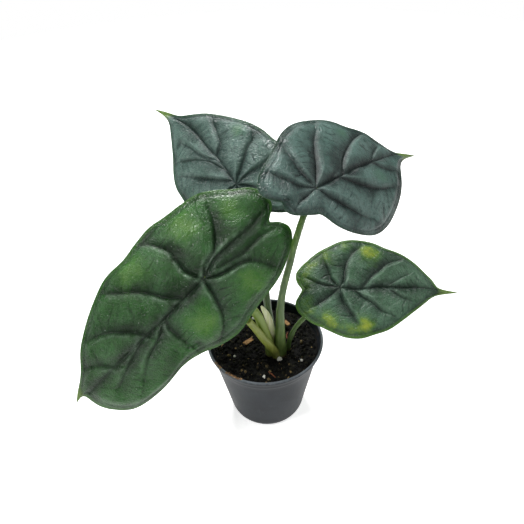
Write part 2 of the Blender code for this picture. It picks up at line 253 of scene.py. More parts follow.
def lumps(points, seed, size):
    # smooth cheap noise from a handful of crossed waves, about -1 to 1
    draw = np.random.default_rng(seed)
    total = np.zeros(len(points))
    for wave in range(lumpWaves["count"]):
        way = draw.normal(size=3)
        way *= draw.uniform(*lumpWaves["pace"]) * math.tau / (size * np.linalg.norm(way))
        total += np.sin(points @ way + draw.uniform(0, math.tau))
    return total / lumpWaves["level"]


# leaves: same attachment, pose and outline as the solids, millimetres and degrees
# turn: heading, pitch and roll; fall: droop of tip, lobes, left and right; margin: seam to the edge
# tip: length and bend of the drip tip; patches: run, side and size of the yellower ground
# dark and light: the leaf's two tones, also used for the painted shade in the valleys and the painted light
# on the dome tops
# the sheen colour is the highlight painted along the crests beside the veins
leafKinds = {
    "frontBlade": {
        "node": "leaf_front", "at": (-38.4, -26.1, 158.7), "turn": (211, -27, -44),
        "fall": (6, 5, 7, 7), "puff": 4.1, "spread": 6.0, "margin": 4.2, "turns": 420, "rings": 100,
        "outline": [(-175, 67), (-168, 70), (-160, 69), (-150, 63), (-140, 60), (-128, 57),
                    (-115, 52), (-100, 49), (-85, 50), (-70, 51), (-55, 55), (-42, 66),
                    (-30, 75), (-20, 85), (-12, 95), (-6, 102), (0, 111), (7, 112),
                    (13, 108), (20, 99), (27, 80), (34, 60), (45, 50), (60, 46), (80, 43),
                    (100, 40), (115, 41), (128, 45), (140, 51), (152, 58), (162, 65),
                    (169, 67), (175, 63), (179, 58)],
        "veins": [
            (1.0, [(0, 0), (29, 2), (49, 3), (64, 3), (87, 4), (108, 5)]),
            (0.9, [(0, 0), (5, -11), (5, -18), (4, -28), (7, -34), (13, -42), (17, -45)]),
            (0.85, [(18, 0), (26, -7), (32, -16), (39, -24), (47, -30), (55, -36)]),
            (0.8, [(52, 4), (55, -2), (63, -10), (72, -17), (83, -21)]),
            (0.85, [(0, 0), (-7, -5), (-18, -9), (-26, -17), (-31, -25), (-34, -33)]),
            (0.9, [(0, 0), (-15, -5), (-30, -5), (-44, -5), (-58, -7), (-66, -8)]),
            (0.6, [(-12, 1), (-32, 5), (-47, 5), (-58, 7)]),
            (0.8, [(0, 0), (-9, 5), (-16, 7), (-22, 8), (-31, 12), (-37, 20), (-40, 26)]),
            (0.9, [(0, 0), (1, 6), (3, 16), (6, 25), (10, 31), (17, 36)]),
            (0.7, [(36, 2), (38, 10), (37, 18), (36, 26)]),
            (0.6, [(36, 2), (47, 9), (63, 15), (74, 23)]),
            (0.6, [(57, 3), (76, 10), (91, 16)]),
            (0.5, [(82, 4), (90, -4), (98, -9)]),
        ],
        "dark": (8, 38, 6), "light": (58, 112, 48), "vein": (5, 25, 5), "edge": (58, 108, 30),
        "grey": 0.25, "paintedSheen": (138, 170, 140), "tip": (10.0, 4.5), "brow": 0.22,
        "patches": [(-12, -36, 17.0), (34, -34, 17.0), (-24, 22, 15.0), (17, 21, 15.0),
                    (-42, -22, 12.0)],
        "patchTones": ((70, 122, 48), (104, 146, 66)),
    },
    "rightBlade": {
        "node": "leaf_right", "at": (58.1, 12.1, 112.2), "turn": (-2, -2, 28),
        "fall": (5, 5, 4, 4), "puff": 2.5, "spread": 4.5, "margin": 3.0, "turns": 360, "rings": 84,
        "outline": [(-176, 29), (-168, 32), (-160, 36), (-150, 37), (-140, 36), (-128, 35),
                    (-115, 34), (-100, 35), (-85, 38), (-70, 41), (-55, 43), (-42, 47),
                    (-30, 51), (-20, 56), (-12, 62), (-6, 68), (0, 75), (7, 73), (12, 69),
                    (20, 64), (30, 58), (42, 51), (55, 48), (70, 44), (85, 40), (100, 36),
                    (115, 34), (128, 33), (140, 33), (150, 34), (160, 35), (168, 34),
                    (175, 32), (180, 30)],
        "veins": [
            (1.0, [(0, 0), (15, -1), (30, 1), (45, 1), (61, 2), (74, 1)]),
            (0.8, [(0, 0), (-7, 7), (-9, 14), (-12, 22), (-13, 29)]),
            (0.9, [(0, 0), (3, 6), (4, 14), (7, 23), (11, 29), (17, 34)]),
            (0.8, [(17, 0), (25, 10), (31, 15), (38, 21), (48, 24)]),
            (0.7, [(0, 0), (-16, 3), (-27, 8)]),
            (0.9, [(0, 0), (1, -9), (5, -17), (9, -23), (14, -31)]),
            (0.8, [(10, -1), (16, -7), (23, -11), (29, -17), (39, -21)]),
            (0.7, [(0, 0), (-12, -10), (-25, -18)]),
            (0.5, [(35, 1), (45, 8), (55, 13)]),
            (0.5, [(35, 1), (45, -6), (55, -10)]),
        ],
        "dark": (12, 38, 24), "light": (84, 124, 92), "vein": (6, 26, 16), "edge": (84, 130, 36),
        "grey": 0.35, "paintedSheen": (122, 152, 132), "tip": (17.0, 1.0), "brow": 0.12,
        "patchTones": ((92, 136, 36), (196, 204, 62)),
        "patches": [(-16, 27, 13.0), (-30, 13, 13.0), (22, 31, 13.0), (-10, -28, 12.0), (18, -32, 12.0),
                    (3, -35, 12.0), (-28, -18, 11.0), (6, 36, 9.0), (-24, 21, 11.0)],
    },
    "backBlade": {
        "node": "leaf_back", "at": (-16.8, 48.6, 183.4), "turn": (131, 19, -45),
        "fall": (3, 4, 3, 4), "puff": 3.0, "spread": 5.0, "margin": 3.2, "turns": 380, "rings": 88,
        "outline": [(-175, 34), (-168, 42), (-160, 50), (-150, 55), (-140, 55), (-128, 52),
                    (-115, 48), (-100, 44), (-85, 42), (-70, 44), (-55, 47), (-42, 51),
                    (-30, 57), (-20, 64), (-12, 70), (-6, 76), (0, 84), (7, 75), (12, 69),
                    (20, 62), (30, 57), (42, 52), (55, 46), (70, 44), (85, 42), (100, 45),
                    (115, 49), (128, 52), (140, 54), (150, 54), (160, 50), (168, 42),
                    (175, 34), (180, 31)],
        "veins": [
            (1.0, [(0, 0), (8, -1), (17, -3), (26, -4), (36, -4), (48, -5), (66, -5), (82, -1)]),
            (0.9, [(0, 0), (6, -11), (10, -19), (13, -24), (14, -30), (19, -36)]),
            (0.8, [(28, -4), (32, -12), (39, -16), (47, -19), (54, -22)]),
            (0.8, [(0, 0), (-2, -14), (-5, -23), (-6, -32)]),
            (0.6, [(24, -3), (37, 3), (48, 5), (60, 8)]),
            (0.7, [(14, -2), (29, 2), (39, 8), (46, 15), (49, 18)]),
            (0.8, [(4, 0), (12, 6), (22, 13), (34, 21), (40, 25)]),
            (0.8, [(0, 0), (2, 14), (4, 26), (8, 35)]),
            (0.8, [(0, 0), (-14, 10), (-28, 16), (-42, 23)]),
            (0.8, [(0, 0), (-14, -9), (-28, -15), (-42, -21)]),
        ],
        "dark": (28, 50, 44), "light": (104, 136, 124), "vein": (14, 32, 29), "edge": (44, 84, 48),
        "grey": 0.7, "paintedSheen": (122, 150, 142), "tip": (19.0, 5.0), "brow": 0.06,
        "patches": [(30, -30, 8.0), (14, 30, 8.0)],
        "patchTones": ((70, 112, 84), (104, 140, 104)),
    },
    "upperBlade": {
        "node": "leaf_upper", "at": (37.8, 8.9, 203.0), "turn": (40, -6, 37),
        "fall": (3, 6, 4, 5), "puff": 3.4, "spread": 5.2, "margin": 4.4, "turns": 380, "rings": 92,
        "outline": [(-175, 31), (-168, 31), (-160, 29), (-150, 25), (-140, 22), (-128, 20),
                    (-115, 19), (-100, 22), (-85, 30), (-70, 41), (-55, 54), (-42, 63),
                    (-30, 70), (-20, 77), (-12, 83), (-6, 88), (0, 95), (7, 88), (12, 84),
                    (20, 79), (30, 70), (42, 66), (55, 60), (70, 53), (85, 46), (100, 40),
                    (115, 37), (128, 37), (140, 39), (150, 41), (160, 42), (168, 40),
                    (175, 34), (180, 30)],
        "veins": [
            (1.0, [(0, 0), (13, 1), (29, 2), (46, 3), (64, 3), (83, 3), (94, 2)]),
            (0.9, [(0, 0), (9, 11), (18, 25), (23, 32), (31, 39)]),
            (0.85, [(29, 3), (36, 11), (46, 18), (59, 24), (70, 26)]),
            (0.8, [(0, 0), (-3, 9), (-4, 19), (-4, 28), (-3, 37)]),
            (0.7, [(0, 0), (-12, 6), (-19, 14), (-26, 21)]),
            (0.9, [(0, 0), (9, -11), (16, -19), (24, -28), (34, -35)]),
            (0.85, [(23, 1), (33, -5), (43, -12), (53, -17), (68, -20)]),
            (0.6, [(0, 0), (-11, -3), (-19, -5), (-25, -8)]),
            (0.5, [(60, 3), (69, 9), (78, 13)]),
            (0.5, [(60, 3), (70, -5), (80, -10)]),
        ],
        "dark": (14, 32, 29), "light": (104, 138, 128), "vein": (8, 22, 20), "edge": (36, 70, 50),
        "grey": 0.7, "paintedSheen": (122, 148, 140), "tip": (21.0, -3.0), "brow": 0.08,
        "patches": [(50, 30, 9.0), (60, -8, 9.0)],
        "patchTones": ((64, 102, 84), (92, 126, 104)),
    },
}

leafBuild = {
    "thickness": 0.8, "thinMargin": 1.5, "veinRib": 0.7,
    "crowd": 0.72, "ringCrowd": 0.92, "dripWidth": 1.3, "dripSharp": 1.3, "dripPull": 12, "dripCurve": 1.5,
    "steepSide": 2.1, "easySide": 0.62, "weakVein": 3.5, "veinEnd": 3.6, "domeShape": 1.15, "edgeFade": 9.0,
    "browAt": 2.6, "browWide": 1.25, "grooveDepth": 0.75, "seamDepth": 0.38, "seamWide": 0.7,
    "ribSpacing": 4.6, "ribHeight": 0.42, "ribSlant": 0.30, "ribWander": 1.6, "ribSharp": 6,
    "ripple": 0.35, "wave": 0.9, "waves": 7, "fallLength": 60, "fallWidth": 40,
}


def bladeAxes(turn):
    head, pitch, roll = (math.radians(angle) for angle in turn)
    midrib = np.array([math.cos(head) * math.cos(pitch), math.sin(head) * math.cos(pitch), math.sin(pitch)])
    level = np.array([-math.sin(head), math.cos(head), 0.0])
    lift = np.cross(midrib, level)
    return (midrib, level * math.cos(roll) + lift * math.sin(roll),
            lift * math.cos(roll) - level * math.sin(roll))


def signedDegrees(radians):
    return (np.degrees(radians) + 180) % 360 - 180


def easedBetween(part, span, first, last, firstSlope, lastSlope):
    # cubic from first to last that leaves and arrives at the given slopes
    leaving = (part ** 3 - 2 * part ** 2 + part) * span * firstSlope
    arriving = (part ** 3 - part ** 2) * span * lastSlope
    return ((2 * part ** 3 - 3 * part ** 2 + 1) * first + leaving
            + (3 * part ** 2 - 2 * part ** 3) * last + arriving)


def outlineReach(outline, degrees):
    wrapped = [(angle - 360, radius) for angle, radius in outline[-2:]] + outline
    wrapped += [(angle + 360, radius) for angle, radius in outline[:3]]
    at = np.array([angle for angle, radius in wrapped], float)
    reach = np.array([radius for angle, radius in wrapped], float)
    slope = np.gradient(reach, at)
    slope[1:-1] = (reach[2:] - reach[:-2]) / (at[2:] - at[:-2])
    degrees = (degrees - at[1]) % 360 + at[1]
    low = np.clip(np.searchsorted(at, degrees, side="right") - 1, 1, len(at) - 3)
    span = at[low + 1] - at[low]
    part = (degrees - at[low]) / span
    return easedBetween(part, span, reach[low], reach[low + 1], slope[low], slope[low + 1])


def smoothLine(points, count=28):
    # rounded path through given points, and its length
    points = np.array(points, float)
    along = np.r_[0, np.cumsum(np.hypot(*np.diff(points, axis=0).T))]
    slope = np.gradient(points, along, axis=0)
    run = np.linspace(0, along[-1], count)
    low = np.clip(np.searchsorted(along, run, side="right") - 1, 0, len(along) - 2)
    span = (along[low + 1] - along[low])[:, None]
    part = ((run - along[low]) / span[:, 0])[:, None]
    line = easedBetween(part, span, points[low], points[low + 1], slope[low], slope[low + 1])
    return line, along[-1]


def veinDistance(spots, line):
    # distance to a vein, how far along it the nearest point is, and the side
    nearest = np.full(len(spots), 1e9)
    along = np.zeros(len(spots))
    side = np.zeros(len(spots))
    run = 0.0
    for start, end in zip(line[:-1], line[1:]):
        way = end - start
        length = float(np.hypot(*way))
        part = np.clip(((spots - start) @ way) / length ** 2, 0, 1)
        foot = start + part[:, None] * way
        gap = spots - foot
        distance = np.hypot(gap[:, 0], gap[:, 1])
        better = distance < nearest
        nearest = np.where(better, distance, nearest)
        along = np.where(better, run + part * length, along)
        side = np.where(better, np.sign(way[0] * gap[:, 1] - way[1] * gap[:, 0]), side)
        run += length
    return nearest, along, side


def flatLumps(spots, seed, size):
    return lumps(np.c_[spots, spots[:, 0] * 0], seed, size)


def bladeGrid(kind):
    # the blade laid flat: places, angle round the attachment, share of the way out, distance to the margin
    turns = kind["turns"]
    rings = kind["rings"]
    spin = np.arange(turns) * math.tau / turns
    theta = spin - leafBuild["crowd"] * np.sin(spin)
    degrees = signedDegrees(theta)
    reach = outlineReach(kind["outline"], degrees)
    tipLength, tipBend = kind["tip"]
    taper = np.exp(-(np.abs(degrees) / leafBuild["dripWidth"]) ** leafBuild["dripSharp"])
    share = np.linspace(0, 1, rings + 1)[1:] ** leafBuild["ringCrowd"]
    pull = share[:, None] ** leafBuild["dripPull"]
    radius = share[:, None] * reach + pull * tipLength * taper
    along = (radius * np.cos(theta)).ravel()
    aside = (radius * np.sin(theta) + tipBend * pull * taper ** leafBuild["dripCurve"]).ravel()
    spots = np.c_[np.r_[0.0, along], np.r_[0.0, aside]]
    around = np.r_[0.0, np.tile(theta, rings)]
    out = np.r_[0.0, np.repeat(share, turns)]
    margin = np.r_[reach.mean(), ((1 - share)[:, None] * reach).ravel()]
    return spots, around, out, margin


def veinRelief(spots, veins):
    # felt distance to the nearest and next vein, run along it, and the marks each vein leaves;
    # the first vein is the midrib and has no steep side
    best = np.full(len(spots), 1e9)
    second = np.full(len(spots), 1e9)
    runAt = np.zeros(len(spots))
    groove = np.zeros(len(spots))
    stroke = np.zeros(len(spots))
    crest = np.zeros(len(spots))
    for number, (strength, points) in enumerate(veins):
        line, length = smoothLine(points)
        distance, along, side = veinDistance(spots, line)
        part = along / length
        facing = 1 if points[-1][1] > points[0][1] else -1
        tipSide = np.where(side * facing < 0, 1.0, 0.0)
        steep = np.where(tipSide > 0, leafBuild["steepSide"], leafBuild["easySide"]) if number else 1.0
        felt = distance * steep + (1 - strength) * leafBuild["weakVein"] + leafBuild["veinEnd"] * part ** 2.5
        nearer = felt < best
        second = np.where(nearer, best, np.minimum(second, felt))
        best = np.where(nearer, felt, best)
        runAt = np.where(nearer, along, runAt)
        if number:
            brow = np.exp(-((distance - leafBuild["browAt"]) / leafBuild["browWide"]) ** 2)
            brow = brow * tipSide * strength * (1 - part ** 3)
            crest = np.maximum(crest, brow * (0.55 + 0.45 * flatLumps(spots, number, 7)))
        keen = strength * (1 - 0.55 * part)
        groove = np.maximum(groove, keen * np.exp(-(distance / (0.7 + 0.5 * keen)) ** 2))
        stroke = np.maximum(stroke, keen * np.exp(-(distance / (0.45 + 0.45 * keen)) ** 2))
    return best, second, runAt, groove, stroke, crest


def bladeFaces(turns, rings):
    # top and underside share one layout, joined round the margin
    count = 1 + turns * rings
    step = np.arange(turns)
    after = (step + 1) % turns
    quads = []
    for ring in range(rings - 1):
        low = 1 + ring * turns
        high = low + turns
        quads.append(np.c_[low + step, high + step, high + after, low + after])
    quads = np.concatenate(quads)
    last = 1 + (rings - 1) * turns
    faces = quads.tolist() + (quads[:, ::-1] + count).tolist()
    for here, there in zip(step.tolist(), after.tolist()):
        faces.append((0, 1 + here, 1 + there))
    for here, there in zip(step.tolist(), after.tolist()):
        faces.append((count, count + 1 + there, count + 1 + here))
    for here, there in zip(step.tolist(), after.tolist()):
        faces.append((last + here, count + last + here, count + last + there, last + there))
    return faces


def makeBlade(name, kind, material):
    spots, around, out, margin = bladeGrid(kind)
    best, second, runAt, groove, stroke, crest = veinRelief(spots, kind["veins"])
    puff = kind["puff"]
    dome = 1 - np.exp(-(best / kind["spread"]) ** leafBuild["domeShape"])
    inside = np.clip(margin / leafBuild["edgeFade"], 0, 1)
    inside = inside * inside * (3 - 2 * inside)
    fromSeam = margin - kind["margin"]
    seam = np.exp(-(fromSeam / leafBuild["seamWide"]) ** 2) * np.clip(1.2 - stroke, 0, 1)
    fade = np.clip((second - best) / 5.0, 0, 1) * np.clip(best / 2.5, 0, 1) * np.clip(fromSeam / 3, 0, 1)
    ribRun = runAt + leafBuild["ribSlant"] * best + leafBuild["ribWander"] * flatLumps(spots, 5, 20)
    rib = np.clip(np.cos(math.tau * ribRun / leafBuild["ribSpacing"]), 0, 1) ** leafBuild["ribSharp"]
    rib = rib * fade * (0.55 + 0.45 * flatLumps(spots, 9, 12))
    flutter = np.sin(leafBuild["waves"] * around + len(name)) * out ** 6
    flutter = flutter * np.clip(np.abs(around - math.pi) / 3, 0.3, 1)
    lift = puff * dome * (0.30 + 0.70 * inside) - 0.55 * puff
    lift += kind["brow"] * puff * crest * inside - leafBuild["grooveDepth"] * groove
    lift -= leafBuild["seamDepth"] * seam
    lift -= leafBuild["ribHeight"] * rib
    lift += leafBuild["ripple"] * flatLumps(spots, 11, 17) * inside
    lift += leafBuild["wave"] * flutter
    lift[0] = lift[1:kind["turns"] + 1].mean()

    tipFall, lobeFall, leftFall, rightFall = kind["fall"]
    along, aside = spots.T
    drop = np.where(along > 0, tipFall, lobeFall) * (along / leafBuild["fallLength"]) ** 2
    drop += np.where(aside > 0, leftFall, rightFall) * (aside / leafBuild["fallWidth"]) ** 2
    midrib, across, normal = bladeAxes(kind["turn"])
    base = np.array(kind["at"]) + np.outer(along, midrib) + np.outer(aside, across)
    top = base + np.outer(lift - drop, normal)
    thick = leafBuild["thickness"] + leafBuild["veinRib"] * groove
    thinned = leafBuild["thickness"] * (0.45 + 0.37 * margin)
    thick = np.where(margin < leafBuild["thinMargin"], thinned, thick)
    below = top - np.outer(thick, normal)

    patch = np.zeros(len(spots))
    for patchAlong, patchAside, size in kind["patches"]:
        away = (along - patchAlong) ** 2 + (aside - patchAside) ** 2
        patch = np.maximum(patch, np.exp(-away / size ** 2))
    past = np.hypot(along, aside) - outlineReach(kind["outline"], signedDegrees(around))
    marks = {
        "veinLine": stroke, "browMark": np.clip(crest * inside, 0, 1), "dome": dome * (0.4 + 0.6 * inside),
        "seamLine": seam, "marginWide": np.clip(margin / 10, 0, 1), "ribMark": rib, "runMark": runAt,
        "nearMark": best, "patchMark": patch, "dripMark": np.clip(past / 4, 0, 1),
    }
    attributes = {key: np.r_[values, values] for key, values in marks.items()}
    attributes["underside"] = np.r_[np.zeros(len(spots)), np.ones(len(spots))]
    faces = bladeFaces(kind["turns"], kind["rings"])
    piece = meshPiece(name, np.r_[top, below] * mm, faces, material, attributes)
    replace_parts(piece, kind["node"])


def bladeFinish(name, kind):
    f = Finish(name)
    vein = f.attribute("veinLine")
    dome = f.attribute("dome")
    seam = f.attribute("seamLine")
    wide = f.attribute("marginWide")
    rib = f.attribute("ribMark")
    patch = f.attribute("patchMark")
    drip = f.attribute("dripMark")
    under = f.attribute("underside")
    cloud = f.noise(55.0, 3.0, 0.5)
    fine = f.noise(420.0, 4.0, 0.6)
    run = f.attribute("runMark")
    near = f.attribute("nearMark")
    across = f.add("ShaderNodeCombineXYZ", {}, {"X": run, "Y": near * 0.22})
    streak = f.noise(1.3, 4.0, 0.62, across)
    # painted light and shade: lighter on the dome tops, darker down in the valleys by the veins, broken up
    # by random cloud
    paintedDomeLightShade = f.step(dome + (cloud - 0.5) * 1.5, 0.12, 1.15)
    dark = screenColour(*kind["dark"])
    light = screenColour(*kind["light"])
    body = f.mix(paintedDomeLightShade * 0.85, dark, light)
    body = f.mix(f.step(cloud, 0.35, 0.7) * kind["grey"] * 0.35, body, screenColour(112, 130, 126))
    # ribs, streaks that run out from the veins, and fine mottling
    body = f.mix((rib * 0.85).held(), body, dark)
    body = f.mix((f.step(streak, 0.50, 0.72) * 0.40 * (1.15 - wide)).held(), body, light)
    body = f.mix((f.step(streak, 0.50, 0.30) * 0.40).held(), body, dark)
    body = f.mix((f.step(fine, 0.45, 0.72) * 0.38).held(), body, dark)
    body = f.mix((f.step(fine, 0.50, 0.28) * 0.22).held(), body, light)
    # veins, a highlight painted on the crest beside them, and the paler margin
    body = f.mix((vein * 0.6).held(), body, screenColour(*kind["vein"]))
    # painted highlight along the steep crest on the tip side of each vein
    paintedSheen = f.attribute("browMark") * (0.35 + f.step(streak, 0.35, 0.7) * 0.65)
    body = f.mix((paintedSheen * 0.62).held(), body, screenColour(*kind["paintedSheen"]))
    edge = f.step(wide, 0.34, 0.0)
    body = f.mix(edge * 0.75, body, screenColour(*kind["edge"]))
    body = f.mix((seam * 0.22).held(), body, screenColour(*kind["vein"]))
    # yellower ground, pale specks and the drip tip
    ragged = patch * (dome * 0.6 + 0.4) + (f.noise(75.0, 5.0, 0.7) - 0.5) * 1.6 - (1.0 - dome) * 0.15
    first, second = kind["patchTones"]
    body = f.mix(f.step(ragged, 0.15, 0.95) * 0.7, body, screenColour(*first))
    body = f.mix(f.step(ragged, 0.55, 1.35) * 0.8, body, screenColour(*second))
    speck = f.step(f.cells(170.0), 0.050, 0.030) * (1.0 - under)
    body = f.mix((speck * 0.7).held(), body, screenColour(196, 206, 196))
    body = f.mix(drip * 0.85, body, screenColour(104, 132, 56))
    # the underside is paler, with light veins; its dome tops carry the same painted light and its valleys
    # the painted shade
    pale = f.mix(paintedDomeLightShade, screenColour(84, 112, 80), screenColour(112, 136, 98))
    pale = f.mix((vein * 0.8).held(), pale, screenColour(150, 168, 112))
    body = f.mix(under, body, pale)
    pores = f.cells(900.0)
    net = f.cells(520.0, "DISTANCE_TO_EDGE")
    relief = f.step(net, 0.0, 0.22) * 0.4 + fine * 0.5 + pores * 0.15 + streak * 1.5
    rough = (0.17 + fine * 0.12 + streak * 0.14 + under * 0.3).held()
    return f.feed(Base_Color=body, Roughness=rough, Specular_IOR_Level=0.46,
                  Normal=f.bump(relief, 0.9, 0.00042))


for bladeName, kind in leafKinds.items():
    makeBlade(bladeName, kind, bladeFinish(bladeName + "Skin", kind))
print("blades made")

# petioles, on the solids' own paths but for the cut one's foot; front and upper are stouter at the base
stem = {
    "sides": 7, "lengths": 14, "weld": 0.00001, "lump": 9.0, "lumpDepth": 0.07,
    "crease": 2.4, "creaseRun": 0.12, "creaseDepth": 0.05, "neck": 7.0, "joint": 1.2, "jointPuff": 0.3,
}
petioleKinds = {
    "frontPetiole": {
        "node": "petiole_front", "blade": "frontBlade",
        "path": [(3.8, -10.6, 67.3), (3.8, -10.7, 71), (3.2, -11.2, 78), (0.6, -12, 90),
                 (-2.6, -13, 104), (-7.6, -14, 117), (-22, -15.5, 136)],
        "radius": [4.2, 4.1, 4.0, 3.7, 3.4, 3.1, 2.6, 2.3, 2.0],
        "base": (140, 156, 74), "top": (124, 150, 58),
    },
    "rightPetiole": {
        "node": "petiole_right", "blade": "rightBlade",
        "path": [(17.7, -7.2, 66.6), (17.7, -7.2, 70), (19.4, -6.2, 79), (23.6, -4, 88),
                 (31, -0.5, 95), (44, 7, 101)],
        "radius": [1.8, 1.8, 1.8, 1.8, 1.8, 1.7, 1.6, 1.5],
        "base": (84, 112, 52), "top": (92, 124, 56),
    },
    "backPetiole": {
        "node": "petiole_back", "blade": "backBlade",
        "path": [(6.4, -4.0, 67.3), (6.4, -4.0, 71), (5.6, -3.6, 88), (3.2, -1.6, 105),
                 (1.6, 3, 122), (-1, 20, 150), (-7, 42, 167)],
        "radius": [2.1, 2.1, 2.4, 2.7, 2.7, 2.5, 2.3, 2.1, 1.9],
        "base": (58, 82, 44), "top": (74, 102, 54),
    },
    "upperPetiole": {
        "node": "petiole_upper", "blade": "upperBlade",
        "path": [(11.2, -10.6, 67.3), (11.2, -10.5, 70), (11.2, -10.2, 77), (11.4, -10, 92),
                 (12.6, -9, 121), (19.1, -5, 152), (24.6, -0.5, 173), (31, 6, 190)],
        "radius": [5.0, 4.9, 4.5, 3.6, 2.6, 2.4, 2.3, 2.2, 2.1, 2.0],
        "base": (98, 122, 56), "top": (70, 102, 38),
    },
    "petioleStub": {
        "node": "petiole_stub", "blade": None,
        "path": [(8.2, -13.2, 66.5), (7.4, -13.8, 71), (5.0, -15.6, 78), (-1.7, -18.6, 93),
                 (-6.4, -19.2, 103), (-11.5, -21, 114)],
        "radius": [3.5, 3.4, 3.1, 2.8, 2.7, 2.5],
        "base": (138, 148, 62), "top": (130, 142, 52),
    },
}


def tube(name, path, radius, material):
    data = bpy.data.curves.new(name, "CURVE")
    data.dimensions = "3D"
    data.bevel_depth = mm
    data.bevel_resolution = stem["sides"]
    data.resolution_u = stem["lengths"]
    data.use_fill_caps = True
    line = data.splines.new("BEZIER")
    line.bezier_points.add(len(path) - 1)
    for knot, spot, size in zip(line.bezier_points, path, radius):
        knot.co = Vector(spot) * mm
        knot.radius = size
        knot.handle_left_type = "AUTO"
        knot.handle_right_type = "AUTO"
    piece = bpy.data.objects.new(name, data)
    scene.collection.objects.link(piece)
    pickOnly(piece)
    bpy.ops.object.convert(target="MESH")
    piece = bpy.context.object
    piece.name = name
    weld = piece.modifiers.new("weld", "WELD")
    weld.merge_threshold = stem["weld"]
    applyAll(piece)
    spots = np.empty(len(piece.data.vertices) * 3)
    piece.data.vertices.foreach_get("co", spots)
    spots = spots.reshape(-1, 3)
    swell = lumps(spots / mm, len(name), stem["lump"]) * stem["lumpDepth"]
    long = spots / mm * [1, 1, stem["creaseRun"]]
    swell = swell + lumps(long, 3, stem["crease"]) * stem["creaseDepth"]
    normals = np.empty(len(spots) * 3)
    piece.data.vertices.foreach_get("normal", normals)
    spots += normals.reshape(-1, 3) * (swell * mm)[:, None]
    piece.data.vertices.foreach_set("co", spots.ravel())
    dress(piece, material)
    return piece


def petioleFinish(name, kind):
    f = Finish(name)
    height = f.add("ShaderNodeSeparateXYZ", {}, {"Vector": f.place}, "Z")
    streak = f.noise(700.0, 3.0, 0.6, f.stretched((1.0, 1.0, 0.06)))
    cloud = f.noise(120.0, 3.0, 0.5)
    rise = f.step(height, 0.068, 0.125)
    body = f.mix(rise, screenColour(*kind["base"]), screenColour(*kind["top"]))
    pale = screenColour(*[min(255, c + 34) for c in kind["base"]])
    deep = screenColour(*[int(c * 0.72) for c in kind["top"]])
    body = f.mix((f.step(streak, 0.45, 0.7) * 0.45).held(), body, pale)
    body = f.mix((f.step(cloud, 0.5, 0.72) * 0.4).held(), body, deep)
    foot = f.step(height + (cloud - 0.5) * 0.006, 0.0715, 0.067)
    body = f.mix(foot * 0.7, body, screenColour(92, 78, 48))
    return f.feed(Base_Color=body, Roughness=(0.36 + streak * 0.16).held(), Coat_Weight=0.1,
                  Coat_Roughness=0.3, Normal=f.bump(streak, 0.4, 0.0002))


for name, kind in petioleKinds.items():
    path = list(kind["path"])
    if kind["blade"]:
        blade = leafKinds[kind["blade"]]
        normal = bladeAxes(blade["turn"])[2]
        at = np.array(blade["at"])
        path.append(tuple(at - normal * stem["neck"]))
        path.append(tuple(at - normal * (stem["joint"] + stem["jointPuff"] * blade["puff"])))
    skin = petioleFinish(name + "Skin", kind)
    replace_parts(tube(name, path, kind["radius"], skin), kind["node"])

sheath = {
    "rows": [((7.4, -8.0, 68.5), 1.2), ((6.6, -7.6, 80.0), 1.5), ((5.4, -8.4, 92.0), 2.4),
             ((3.4, -9.4, 103.0), 3.0), ((0.6, -10.3, 112.0), 2.2), ((-2.2, -11.0, 118.5), 0.7)],
    "lean": (0.80, 0.55, 0.22), "thickness": 0.45, "curl": (0.4, -0.7, 0.3),
    "across": (-1.0, -0.5, 0.0, 0.5, 1.0), "smoothing": 3,
}


def makeSheath():
    lean = np.array(sheath["lean"]) / np.linalg.norm(sheath["lean"])
    points = []
    faces = []
    for spot, half in sheath["rows"]:
        for side in sheath["across"]:
            curl = 0.5 * (1 - side * side)
            points.append((np.array(spot) + lean * half * side + np.array(sheath["curl"]) * curl) * mm)
    width = len(sheath["across"])
    for row in range(len(sheath["rows"]) - 1):
        for column in range(width - 1):
            low = row * width + column
            faces.append((low, low + 1, low + width + 1, low + width))
    f = Finish("sheathSkin")
    streak = f.noise(900.0, 3.0, 0.6, f.stretched((1.0, 1.0, 0.08)))
    body = f.mix(f.step(streak, 0.35, 0.7), screenColour(250, 252, 214), screenColour(222, 230, 160))
    skin = f.feed(Base_Color=body, Roughness=0.5 + streak * 0.2, Normal=f.bump(streak, 0.5, 0.0002))
    piece = meshPiece("sheathWing", points, faces, skin)
    thick = piece.modifiers.new("thick", "SOLIDIFY")
    thick.thickness = sheath["thickness"] * mm
    thick.offset = 0.0
    soft = piece.modifiers.new("soft", "SUBSURF")
    soft.levels = sheath["smoothing"]
    soft.render_levels = sheath["smoothing"]
    applyAll(piece)
    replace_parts(piece, "petiole_sheath")


makeSheath()
print("petioles made")

# pot; drains are ring radius, first angle, number and hole radius
pot = {
    "height": 73.0, "rim": 45.0, "band": 9.5, "base": 28.0, "wall": 1.3, "turns": 160,
    "footTop": 6.0, "footRadius": 30.2, "flare": 11.0, "drains": (18.0, 22.5, 6, 2.6),
    "middle": 12.0, "weld": 0.00005, "drill": 0.012, "crease": 38,
}


def wallRadius(z):
    rise = pot["height"] - pot["band"] - pot["footTop"]
    return pot["footRadius"] + pot["flare"] * (z - pot["footTop"]) / rise


def potOuter():
    top, rim, band, base = pot["height"], pot["rim"], pot["height"] - pot["band"], pot["base"]
    lip = [(rim - 1.1, top), (rim - 0.7, top - 0.08), (rim - 0.35, top - 0.3), (rim - 0.1, top - 0.65),
           (rim, top - 1.1), (rim - 0.1, top - 1.8), (rim - 0.35, top - 2.5), (rim - 0.8, top - 3.5),
           (rim - 1.5, top - 5.0), (rim - 2.1, band + 2.4), (rim - 2.45, band + 1.1),
           (rim - 2.7, band + 0.5), (42.0, band - 0.1), (41.6, band - 0.5), (41.35, band - 1.1)]
    side = [(wallRadius(level), level) for level in (58.0, 50.0, 40.0, 30.0, 20.0, 12.0)]
    foot = [(30.5, 7.4), (30.2, 5.6), (29.6, 3.6), (29.0, 2.2), (28.3, 1.1), (27.4, 0.35),
            (base - 1.6, 0.0), (base - 3.0, 0.0)]
    return lip + side + foot


